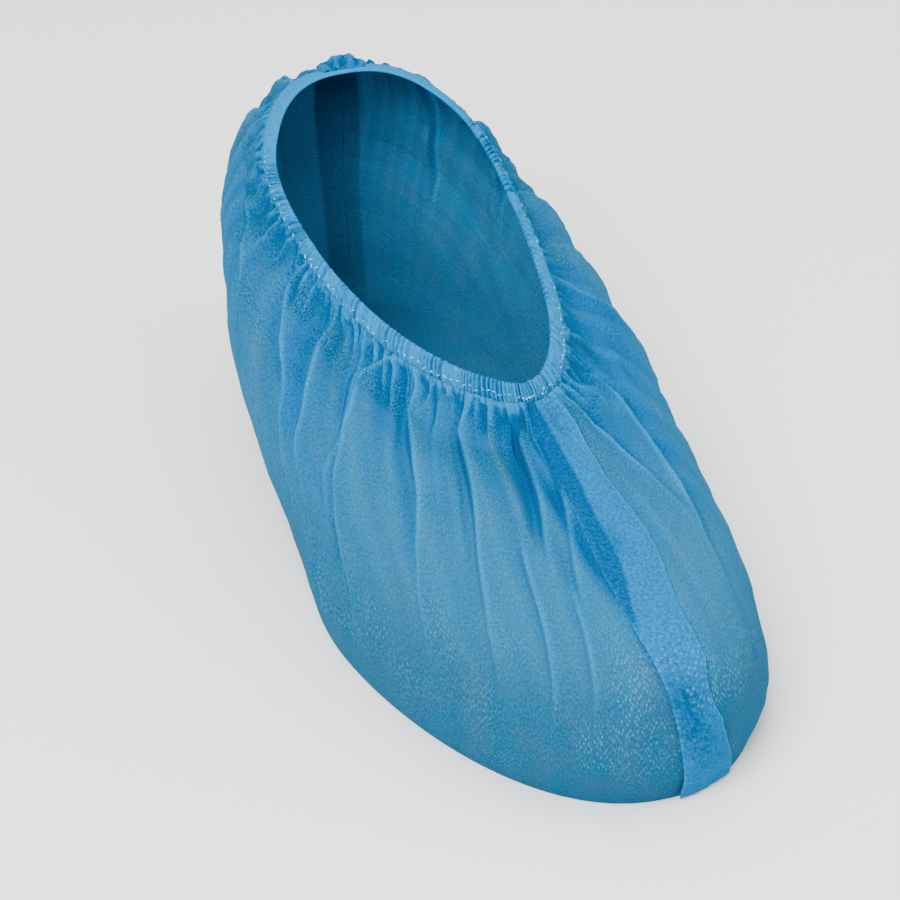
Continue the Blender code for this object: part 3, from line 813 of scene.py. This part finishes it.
class CoverLooks(bpy.types.PropertyGroup):
    """The colours of the cloth, thread and floor."""

    single_colour: colour_of("Single cloth", "One layer of cloth", "#1C6B93")
    # Also the painted shade behind folds and in the gathers' valleys
    doubled_and_shade_colour: colour_of("Doubled cloth", "Two or more layers, in folds and gathers", "#01629A")
    hem_colour: colour_of("Hem cloth", "The elastic hem", "#067FB9")
    strip_colour: colour_of("Strip cloth", "The flat seam strips", "#026EA8")
    # A painted highlight along ridges and the strips' edges; the thread's twist bands take it too
    highlight_and_twist_colour: colour_of("Ridge lines", "The light line along a fold's ridge", "#1689C2")
    glint_colour: colour_of("Bond glints", "Pressed bond points that catch the light", "#5FA3C4")
    thin_colour: colour_of("Thin cloth", "Greyer places where the filaments lie thin", "#2C6A8F")
    # Also painted shade in furrows, in the gathers' valleys and in the hem's grooves
    layers_and_shade_colour: colour_of("Furrows", "Strong blue where several layers lie together", "#014D80")
    pore_colour: colour_of("Pores", "Dark gaps between the filaments", "#0C364F")
    thread_colour: colour_of("Thread", "The hem's sewing thread", "#A6D0E8")
    floor_colour: colour_of("Floor", "The pale floor", "#F6F6F6")


def glints_at(around, level):
    """Where the pressed points catch the light: mostly in patches low on the toe and along the ground."""
    patch = soft_step(cloud(around * 46 + 5, level * 1.3, 41) * 1.5 + 0.1)
    low = hump(level - 6.9, 1.1) * hump(around, 0.18)
    return 0.04 + 0.30 * patch * low + 0.12 * patch * soft_step((level - 5) / 2)


# The sole's height over the floor and its ripples, in mm
SOLE_HEIGHT = 0.28
SOLE_RIPPLE = 0.12
SOLE_RIPPLE_SIZE = 9.0


def sole_rows(edge, sizes):
    """Rows of cloth that run in under the sole, from the wall's last row to the sole's middle line."""
    middle = step_to_frame(sizes)
    toe_tip = middle[1] - sizes.cover_length / 2
    along = (edge[:, 1] - edge[:, 1].mean()) * 0.93 + edge[:, 1].mean()
    bend = sizes.centre_bend * np.sin(np.pi * (along - toe_tip) / sizes.cover_length)
    target = np.stack([middle[0] - bend, along, edge[:, 2]], -1)
    rows = []
    for i in range(1, SOLE_ROWS + 1):
        share = i / SOLE_ROWS
        row = edge * (1 - share) + target * share
        x, y = row[:, :2].T / (SOLE_RIPPLE_SIZE * MM) + 20
        row[:, 2] = (SOLE_HEIGHT + SOLE_RIPPLE * cloud(x, y, 51) * math.sin(math.pi * share)) * MM
        rows.append(row)
    return np.array(rows)


def cloth_side(name, cloth, columns, material):
    """One side of the cloth: its wall, and its half of the sole."""
    wall = cloth.point[:, columns]
    points = np.concatenate([wall, sole_rows(wall[-1], cloth.sizes)])
    mesh = grid_mesh(name, points)
    fall = run_lengths(points, 0)
    across = np.tile(cloth.around[columns] * (GIRTH * cloth.sizes.cover_length), (len(fall), 1))
    add_uv(mesh, np.stack([across, fall], -1))
    for value in CLOTH_VALUES:
        on_wall = getattr(cloth, value)[:, columns]
        add_values(mesh, value, np.concatenate([on_wall, np.zeros((SOLE_ROWS, on_wall.shape[1]))]))
    return add_piece(mesh, material, "nonwoven_cloth", "cover_shell")


class SHOECOVER_OT_cloth(bpy.types.Operator):
    """Draws the cover's cloth as an outer and an inner side, which meet in the seams and under the sole."""

    bl_idname = "shoe_cover.cloth"
    bl_label = "Gathered cloth"

    def execute(self, context):
        sizes = context.scene.shoe_cover_sizes
        looks = context.scene.shoe_cover_looks
        cloth = WornCloth(sizes)
        material = spunbond_cloth("blue_spunbond_cloth", looks, looks.single_colour, looks.doubled_and_shade_colour)
        seam = int(np.searchsorted(cloth.around, TOE_SEAM))
        sides = {"outer_side_cloth": slice(0, seam + 1), "inner_side_cloth": slice(seam, None)}
        for name, columns in sides.items():
            piece = cloth_side(name, cloth, columns, material)
        return {"FINISHED"}


# The hem's band: points along it and round its section, then what its ruches do to it, in shares or in mm
HEM_STATIONS = 1920
HEM_SIDES = 16
HEM_SWELL = 0.40
HEM_WIDEN = 0.08
HEM_SINK = 0.30
HEM_CRINKLE = 0.20
# How far the band reaches in over the mouth, in mm, and how much more at the smooth heel
HEM_INWARD = 0.9
HEEL_INWARD = 1.3
# The middle of the ruched stretch, in shares of the way round
RUCHES_MIDDLE = 0.015


def hem_frame(sizes, around):
    """The hem's middle line with its directions: across the band, and out of its face."""
    step = step_to_frame(sizes)
    wide = 1.0 + 0.45 * hump(np.abs(around) - 0.45, 0.06)
    opening = wall_point(sizes, around, 0.0) + step
    edge = wall_point(sizes, around, wide) + step
    across = unit(edge - opening)
    inward = HEM_INWARD + HEEL_INWARD * soft_step((np.abs(around - RUCHES_MIDDLE) - 0.33) / 0.06)
    opening = opening - across * (inward * MM)[:, None]
    half = np.linalg.norm(edge - opening, axis=-1) / 2
    tangent = unit(np.gradient(opening + edge, axis=0))
    outward = unit(np.cross(across, tangent))
    return (opening + edge) / 2, across, outward, half


def hem_ruche(sizes, around):
    """The hem's ruches, from -1 to 1, and how strong they are: the heel's stretch is pulled smooth."""

    def noise(bumps, seed):
        return cloud(around * bumps + 50, around * 0, seed)

    wave = 1 - 2 * np.abs(np.sin(np.pi * (sizes.hem_ruches * around + 1.5 * noise(60, 61)))) ** 0.9
    finer = np.sin(2 * np.pi * (1.55 * sizes.hem_ruches * around + 1.3 * noise(70, 64)))
    wave = 0.80 * wave + 0.45 * finer * (0.5 + 0.5 * noise(45, 65))
    smooth_heel = soft_step((0.365 - np.abs(around - RUCHES_MIDDLE)) / 0.04)
    uneven = 0.7 + 0.55 * noise(130, 62)
    return wave, 0.08 + 0.92 * smooth_heel * uneven


class SHOECOVER_OT_hem(bpy.types.Operator):
    """Draws the band of cloth over the elastic, ruched at the front and sides and smooth at the heel."""

    bl_idname = "shoe_cover.hem"
    bl_label = "Elastic hem"

    def execute(self, context):
        sizes = context.scene.shoe_cover_sizes
        looks = context.scene.shoe_cover_looks
        around = np.linspace(-0.5, 0.5, HEM_STATIONS + 1)[:-1]
        centre, across, outward, half = hem_frame(sizes, around)
        wave, strength = hem_ruche(sizes, around)
        turns = np.linspace(0, 2 * np.pi, HEM_SIDES + 1)
        flat = power(np.cos(turns), 0.75)
        thick = power(np.sin(turns), 0.85)
        # Each ruche swells, widens and stands out of the band, and fine crinkles cross it
        swell = 1 + HEM_SWELL * wave * strength
        width = half * (1 + HEM_WIDEN * wave * strength)
        thickness = sizes.hem_thickness / 2 * swell * (0.6 + 0.4 * np.clip(strength, 0, 1))
        sink = HEM_SINK * MM * wave * strength
        crinkle = cloud(around[:, None] * 520 + 300, 6 + 2.4 * flat[None] + 0 * around[:, None], 66)
        crinkle = HEM_CRINKLE * MM * crinkle * np.clip(thick, 0, 1) * strength[:, None]
        points = (
            centre[:, None]
            + across[:, None] * (width[:, None] * flat)[..., None]
            + outward[:, None] * (thickness[:, None] * thick + sink[:, None] + crinkle)[..., None]
        )
        mesh = grid_mesh("ruched_hem_band", points, closed=True)
        run = np.tile((around * GIRTH * sizes.cover_length)[:, None], (1, len(turns)))
        band = np.tile(turns * 1.2 * MM, (len(around), 1))
        add_uv(mesh, np.stack([run, band], -1))
        groove = np.clip(-wave, 0, 1) * strength
        ridge = np.clip(wave, 0, 1) * strength
        # Painted shade in the grooves between the ruches, and a painted highlight and glints on their ridges;
        # the smooth heel stretch is drawn lighter
        values = {
            "ply": 0.90 - 0.5 * groove,
            "crest": 0.30 * ridge + 0.65 * (1 - strength),
            "deep": 0.95 * groove,
            "glint": 0.15 * ridge,
        }
        for value, at_station in values.items():
            add_values(mesh, value, at_station[:, None] * np.ones((1, len(turns))))
        material = spunbond_cloth("ruched_spunbond_hem", looks, looks.doubled_and_shade_colour, looks.hem_colour)
        add_piece(mesh, material, "hem_cloth", "elastic_hem")
        return {"FINISHED"}


# How many places the stitches have, over which stretch of the way round, and the share of them left out;
# then each stitch's steps along it and its sides
STITCHES = 120
STITCH_STRETCH = (-0.34, 0.37)
STITCH_GAPS = 0.12
STITCH_STEPS = 7
STITCH_SIDES = 6
# Least and most of each stitch: its length and radius in mm, its slant, and its places over the band as
# shares of the band's half width and of its thickness. STITCH_RISE is its arch in mm
STITCH_LENGTH = (0.9, 1.7)
STITCH_RADIUS = (0.13, 0.26)
STITCH_SLANT = (0.15, 0.9)
STITCH_ACROSS = (0.22, 0.68)
STITCH_OUT = (0.26, 0.44)
STITCH_RISE = 0.22


class SHOECOVER_OT_stitches(bpy.types.Operator):
    """Sews the short, uneven stitches of white thread along the ruched hem."""

    bl_idname = "shoe_cover.stitches"
    bl_label = "Hem stitches"

    def execute(self, context):
        sizes = context.scene.shoe_cover_sizes
        looks = context.scene.shoe_cover_looks
        places = np.linspace(*STITCH_STRETCH, STITCHES)
        centre, across, outward, half = hem_frame(sizes, places)
        draw = np.random.default_rng(63)
        share = np.linspace(0, 1, STITCH_STEPS)
        rise = np.sin(np.pi * share) * STITCH_RISE * MM
        bulge = np.sqrt(np.clip(np.sin(np.pi * np.clip(share, 0.04, 0.96)), 0, 1))
        turns = np.linspace(0, 2 * np.pi, STITCH_SIDES + 1)[:-1]
        grid = np.arange(STITCH_STEPS * STITCH_SIDES).reshape(STITCH_STEPS, STITCH_SIDES)
        points = []
        quads = []
        for i in range(1, len(places) - 1):
            if draw.uniform() < STITCH_GAPS:
                continue
            ahead = unit(centre[i + 1] - centre[i - 1])
            slant = draw.uniform(*STITCH_SLANT) * (1 if i % 2 else -1)
            ahead = unit(ahead + slant * across[i])
            middle = centre[i] + across[i] * half[i] * draw.uniform(*STITCH_ACROSS)
            middle += outward[i] * sizes.hem_thickness * draw.uniform(*STITCH_OUT)
            line = middle + ahead * (share[:, None] - 0.5) * draw.uniform(*STITCH_LENGTH) * MM
            line = line + outward[i] * rise[:, None]
            sideways = unit(np.cross(ahead, outward[i]))
            up = np.cross(sideways, ahead)
            radius = draw.uniform(*STITCH_RADIUS) * MM * bulge
            ring = np.cos(turns)[:, None] * sideways + np.sin(turns)[:, None] * up
            tube = line[:, None] + ring[None] * radius[:, None, None]
            index = len(points) * grid.size + grid
            points.append(tube.reshape(-1, 3))
            turned = np.roll(index, -1, axis=1)
            corners = [index[:-1], turned[:-1], turned[1:], index[1:]]
            quads.append(np.stack(corners, -1).reshape(-1, 4))
        mesh = quad_mesh("hem_thread_stitches", np.concatenate(points), np.concatenate(quads))
        add_piece(mesh, sewing_thread(looks), "hem_cloth", "elastic_hem")
        return {"FINISHED"}


# The strips, in mm: the thickness of their doubled cloth, and how low they may come; how far the toe
# strip lies over the cloth, the step of its turned edge, and how far its corner points out; how far the
# heel strip's top end rolls forward over the hem and rises
STRIP_CLOTH = 0.4
STRIP_LOWEST = 0.9
STRIP_LIFT = 0.35
TURNED_STEP = 0.7
CORNER_OUT = 0.6
TUFT_LIFT = 0.7
TUFT_PUFF = 1.8
TUFT_ROLL = 4.2
TUFT_RISE = 2.2
TUFT_CURL = 1.0
TUFT_END = 1.9


def strip_points(cloth, table, levels, columns, lift):
    """Points of a flat strip on the cloth, between its table of edges; lift gives its height in mm."""
    outer = read_table(table, "level", "outer", levels)
    inner = read_table(table, "level", "inner", levels)
    share = np.linspace(0, 1, columns)
    around = outer[:, None] + (inner - outer)[:, None] * share
    level = np.tile(levels[:, None], (1, columns))
    place = cloth.place(around, np.clip(level, 1.0, FLOOR))
    share = np.tile(share, (len(levels), 1))
    points = place.point + place.normal * (lift(share, level) * MM)[..., None]
    return points, place, share, level


def add_strip(name, points, values, material, slot, node):
    """Adds a strip: kept over the floor, with its looks' values and its doubled cloth's thickness."""
    points[..., 2] = np.maximum(points[..., 2], STRIP_LOWEST * MM)
    mesh = grid_mesh(name, points)
    add_uv(mesh, np.stack([run_lengths(points, 1), run_lengths(points, 0)], -1))
    for value, at_point in values.items():
        add_values(mesh, value, at_point)
    strip = add_piece(mesh, material, slot, node)
    thickness = strip.modifiers.new("cloth_thickness", "SOLIDIFY")
    thickness.thickness = STRIP_CLOTH * MM
    thickness.offset = -1


class SHOECOVER_OT_toe_strip(bpy.types.Operator):
    """Draws the toe's flat seam strip, from under the hem down to its pointed corner at the floor."""

    bl_idname = "shoe_cover.toe_strip"
    bl_label = "Toe seam strip"

    def execute(self, context):
        sizes = context.scene.shoe_cover_sizes
        looks = context.scene.shoe_cover_looks
        cloth = WornCloth(sizes)
        levels = np.concatenate([np.linspace(1.02, 2.0, 16)[:-1], np.linspace(2.0, 8.95, 170)])

        def turned_edge(share, level):
            reach = read_table(STRIP_TURN, "level", "across", level)
            return soft_step((reach - share) / 0.05 + 0.5) * soft_step((6.0 - level) / 0.4)

        def lift(share, level):
            # Crinkles of three sizes, pleats under the hem, and the step down to the turned edge
            crinkle = 0.55 * cloud(share * 3 + 4, level * 5.5, 71) + 0.28 * cloud(share * 7, level * 12, 72)
            crinkle = crinkle + 0.26 * cloud(share * 13, level * 21, 74)
            edge = hump(share, 0.10) + hump(1 - share, 0.10)
            low = soft_step((level - 1) / 1.5)
            pleats = 0.30 * np.sin(np.pi * share * 7 + level) * soft_step((3.2 - level) / 1.5)
            step = TURNED_STEP * (1 - turned_edge(share, level)) * low
            return STRIP_LIFT + 0.45 * crinkle * low + pleats + step - 0.15 * edge * low

        points, place, share, level = strip_points(cloth, TOE_STRIP, levels, 45, lift)
        # The free corner at the floor
        point_out = soft_step((level - 8.2) / 0.75) * np.clip(1 - share * 1.35, 0, 1) ** 1.6
        outward = place.normal * (1, 1, 0)
        points += unit(outward) * (CORNER_OUT * MM * point_out)[..., None]
        uneven = 0.5 + 0.5 * cloud(share * 4 + 9, level * 4, 73)
        fleck = cloud(share * 11 + 3, level * 16, 75)
        deep = 1.1 * turned_edge(share, level)
        for patch in STRIP_PATCHES:
            deep += patch.amount * at_patch(patch, share, level) * (1 + 0.4 * fleck)
        # Painted highlights run along both edges, stronger on the inner one
        values = {
            "ply": np.clip(0.95 - 0.25 * uneven - 0.20 * fleck, 0, 1),
            "crest": 0.8 * hump(1 - share, 0.035) + 0.3 * hump(share, 0.04),
            "deep": np.clip(deep, 0, 1),
            "glint": glints_at(share * 0.03, level) * 0.9,
        }
        material = spunbond_cloth("doubled_spunbond_strip", looks, looks.doubled_and_shade_colour, looks.strip_colour)
        add_strip("toe_seam_strip", points, values, material, "doubled_cloth", "toe_seam_flap")
        return {"FINISHED"}


class SHOECOVER_OT_heel_strip(bpy.types.Operator):
    """Draws the heel's seam strip, whose bunched top end stands over the rim as a small tuft."""

    bl_idname = "shoe_cover.heel_strip"
    bl_label = "Heel seam strip"

    def execute(self, context):
        sizes = context.scene.shoe_cover_sizes
        looks = context.scene.shoe_cover_looks
        cloth = WornCloth(sizes)
        levels = np.concatenate([np.linspace(-0.6, 1.0, 36)[:-1], np.linspace(1.0, 8.9, 150)])

        def bunched(share, level):
            wander = 0.5 * cloud(share * 4 + 2, level * 1.5 + 4, 85)
            return np.sin(np.pi * (share * 7 + wander)) * soft_step((3.6 - level) / 1.6)

        def lift(share, level):
            level = np.maximum(level, 1.0)
            bunch = soft_step((3.6 - level) / 1.6)
            crinkle = 0.5 * cloud(share * 3, level * 5, 81) + 0.3 * cloud(share * 7, level * 11, 82)
            puff = TUFT_PUFF * bunch * np.sin(np.pi * share)
            return TUFT_LIFT + 0.4 * crinkle + 0.35 * bunched(share, level) + puff

        points, place, share, level = strip_points(cloth, HEEL_STRIP, levels, 57, lift)
        # The bunched top swells up in a ragged dome
        dome = np.sin(np.pi * np.clip(share, 0, 1)) ** 0.6
        ragged = 1 + 0.2 * cloud(share * 6 + 3, np.maximum(level, 1.0) * 3, 83)
        points[..., 2] += TUFT_RISE * MM * soft_step((2.4 - level) / 1.2) * dome * ragged
        # The top end rolls forward over the hem
        roll = np.clip((1.0 - level) / 1.6, 0, 1)
        height = points[..., 2] - place.point[..., 2]
        forward = TUFT_ROLL * np.sin(np.pi * roll / 2) * (0.8 + 0.2 * dome)
        forward += 0.45 * bunched(share, level) * np.sin(np.pi * roll)
        points -= unit(place.normal * (1, 1, 0)) * (forward * MM)[..., None]
        points[..., 2] += TUFT_CURL * MM * np.sin(np.pi * np.clip(1.6 * roll, 0, 1)) * dome
        points[..., 2] -= (height - TUFT_END * MM) * soft_step((roll - 0.35) / 0.65)
        uneven = 0.5 + 0.5 * cloud(share * 4 + 2, level * 4, 84)
        bunch = soft_step((4.0 - level) / 2)
        # Painted highlights run along both edges, and painted shade lies in the bunched top's valleys
        values = {
            "ply": np.clip(0.55 + 0.25 * uneven + 0.2 * bunch, 0, 1),
            "crest": 0.6 * hump(1 - share, 0.04) + 0.6 * hump(share, 0.04),
            "deep": np.clip(0.2 * bunch - 0.8 * bunched(share, level), 0, 1),
            "glint": np.full(level.shape, 0.15),
        }
        material = spunbond_cloth("bunched_spunbond_strip", looks, looks.doubled_and_shade_colour, looks.strip_colour)
        add_strip("heel_seam_strip", points, values, material, "bunched_cloth", "heel_seam_flap")
        return {"FINISHED"}


# The camera's place, as seen from the middle of the view: turn, climb and roll in degrees, then metres.
# LENS and SENSOR are mm. The floor reaches FLOOR_REACH metres each way, and ROOM_LIGHT is the room's strength
VIEW_MIDDLE = Vector((-0.00977, -0.02742, 0.040))
VIEW_TURN = -16.326
VIEW_CLIMB = 29.889
VIEW_ROLL = -2.772
VIEW_DISTANCE = 0.75024
LENS = 110.06
SENSOR = 36.0
FLOOR_REACH = 4.0
ROOM_LIGHT = 0.55

# Soft boxes: where each stands, its width and its power in watts
SoftBox = namedtuple("SoftBox", "name place width power")
SOFT_BOXES = [
    SoftBox("key_soft_box", (-0.75, -0.85, 1.25), 1.1, 56.0),
    SoftBox("fill_soft_box", (1.1, -0.55, 0.9), 1.2, 14.0),
    SoftBox("top_soft_box", (0.1, 0.5, 1.5), 1.4, 22.0),
]


class SHOECOVER_OT_stage(bpy.types.Operator):
    """Sets the pale floor, the soft boxes and the camera."""

    bl_idname = "shoe_cover.stage"
    bl_label = "Floor, light and camera"

    def execute(self, context):
        scene = context.scene
        looks = scene.shoe_cover_looks
        corners = FLOOR_REACH * np.array([(-1, -1, 0), (1, -1, 0), (1, 1, 0), (-1, 1, 0)])
        mesh = quad_mesh("floor", corners, np.array([[0, 1, 2, 3]]))
        mesh.materials.append(white_card(looks))
        floor = bpy.data.objects.new("floor", mesh)
        scene.collection.objects.link(floor)

        for box in SOFT_BOXES:
            lamp = bpy.data.lights.new(box.name, "AREA")
            lamp.shape = "SQUARE"
            lamp.size = box.width
            lamp.energy = box.power
            light = bpy.data.objects.new(box.name, lamp)
            light.location = box.place
            aim = VIEW_MIDDLE - Vector(box.place)
            light.rotation_euler = aim.to_track_quat("-Z", "Y").to_euler()
            scene.collection.objects.link(light)

        world = bpy.data.worlds.new("soft_white_room")
        world.use_nodes = True
        sky = world.node_tree.nodes["Background"]
        sky.inputs["Color"].default_value = (1, 1, 1, 1)
        sky.inputs["Strength"].default_value = ROOM_LIGHT
        scene.world = world

        # The camera's axes: back from the middle of the view, and its rolled side and top
        turn = math.radians(VIEW_TURN)
        climb = math.radians(VIEW_CLIMB)
        roll = math.radians(VIEW_ROLL)
        flat = math.cos(climb)
        back = Vector((math.sin(turn) * flat, -math.cos(turn) * flat, math.sin(climb)))
        right = Vector((math.cos(turn), math.sin(turn), 0))
        up = back.cross(right)
        side = right * math.cos(roll) + up * math.sin(roll)
        top = up * math.cos(roll) - right * math.sin(roll)
        lens = bpy.data.cameras.new("photo_view")
        lens.lens = LENS
        lens.sensor_width = SENSOR
        camera = bpy.data.objects.new("photo_view", lens)
        place = Matrix((side, top, back)).transposed().to_4x4()
        place.translation = VIEW_MIDDLE + back * VIEW_DISTANCE
        camera.matrix_world = place
        scene.collection.objects.link(camera)
        scene.camera = camera
        return {"FINISHED"}


class SHOECOVER_PT_pieces(bpy.types.Panel):
    """Lists the cover's sizes, colours and pieces."""

    bl_idname = "SHOECOVER_PT_pieces"
    bl_label = "Disposable Shoe Cover"
    bl_space_type = "VIEW_3D"
    bl_region_type = "UI"
    bl_category = "Shoe Cover"

    def draw(self, context):
        scene = context.scene
        for group in (scene.shoe_cover_sizes, scene.shoe_cover_looks):
            box = self.layout.box()
            for name in group.__annotations__:
                box.prop(group, name)
        for operator in OPERATORS:
            self.layout.operator(operator.bl_idname)


OPERATORS = (
    SHOECOVER_OT_cloth,
    SHOECOVER_OT_hem,
    SHOECOVER_OT_stitches,
    SHOECOVER_OT_toe_strip,
    SHOECOVER_OT_heel_strip,
    SHOECOVER_OT_stage,
)
CLASSES = (CoverSizes, CoverLooks, *OPERATORS, SHOECOVER_PT_pieces)


def register():
    for item in CLASSES:
        bpy.utils.register_class(item)
    bpy.types.Scene.shoe_cover_sizes = PointerProperty(type=CoverSizes)
    bpy.types.Scene.shoe_cover_looks = PointerProperty(type=CoverLooks)


def unregister():
    del bpy.types.Scene.shoe_cover_looks
    del bpy.types.Scene.shoe_cover_sizes
    for item in reversed(CLASSES):
        bpy.utils.unregister_class(item)


def main():
    register()
    bpy.ops.shoe_cover.cloth()
    bpy.ops.shoe_cover.hem()
    bpy.ops.shoe_cover.stitches()
    bpy.ops.shoe_cover.toe_strip()
    bpy.ops.shoe_cover.heel_strip()
    bpy.ops.shoe_cover.stage()


if __name__ == "__main__":
    main()
